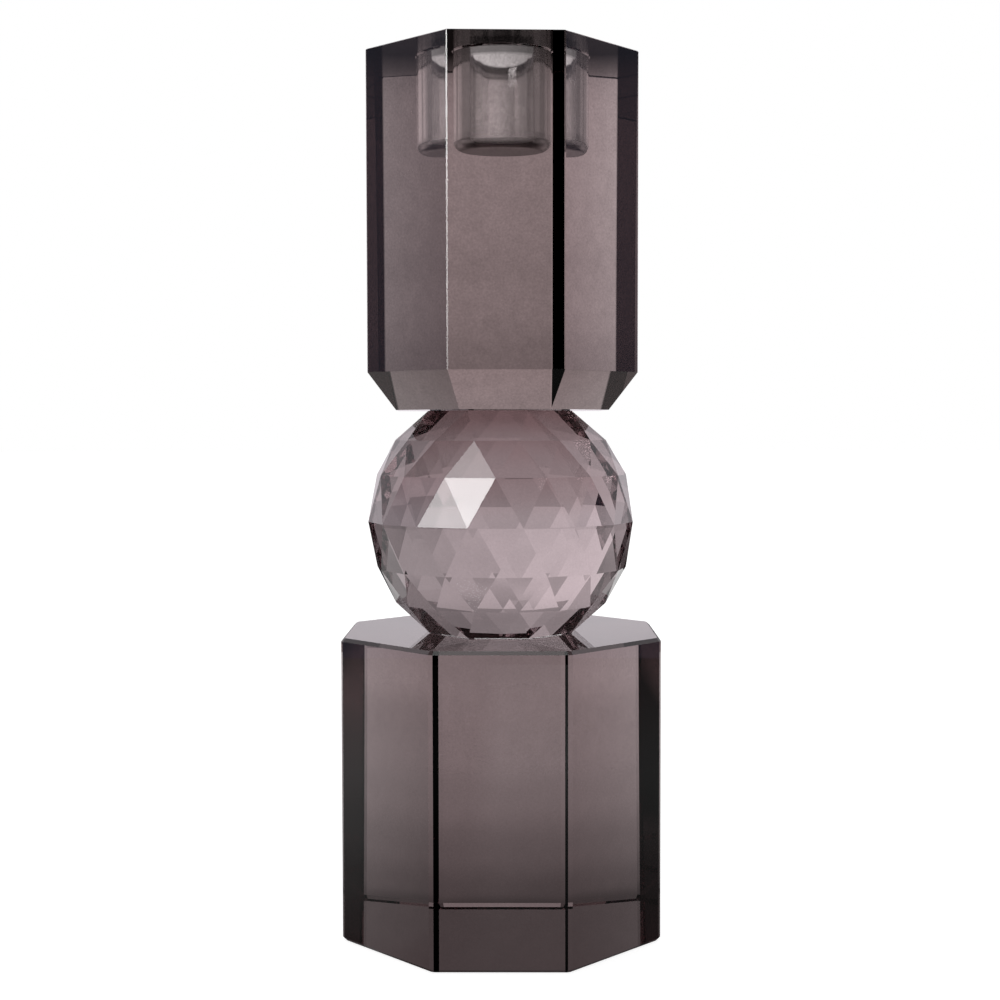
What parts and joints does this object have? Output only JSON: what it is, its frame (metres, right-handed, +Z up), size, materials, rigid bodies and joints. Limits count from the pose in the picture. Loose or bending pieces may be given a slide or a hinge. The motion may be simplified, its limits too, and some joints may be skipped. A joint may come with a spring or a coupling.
{
  "type": "candlestick",
  "caption": "Smoke-tinted crystal candlestick: octagonal base block, faceted ball and octagonal cup block with a round candle socket, bonded on one axis.",
  "frame": {"origin": "middle of the base block's underside", "axes": "+Z up along the common axis, -Y towards the front"},
  "size_m": [0.0734, 0.0734, 0.2042],
  "materials": {
    "smoke_crystal": "polished",
    "pale_smoke_crystal": "polished",
    "clear_adhesive": "clear"
  },
  "bodies": {
    "root": {"base_block": "smoke_crystal", "lower_bond": "clear_adhesive", "faceted_ball": "pale_smoke_crystal", "upper_bond": "clear_adhesive", "candle_cup_block": "smoke_crystal"}
  },
  "joints": []
}
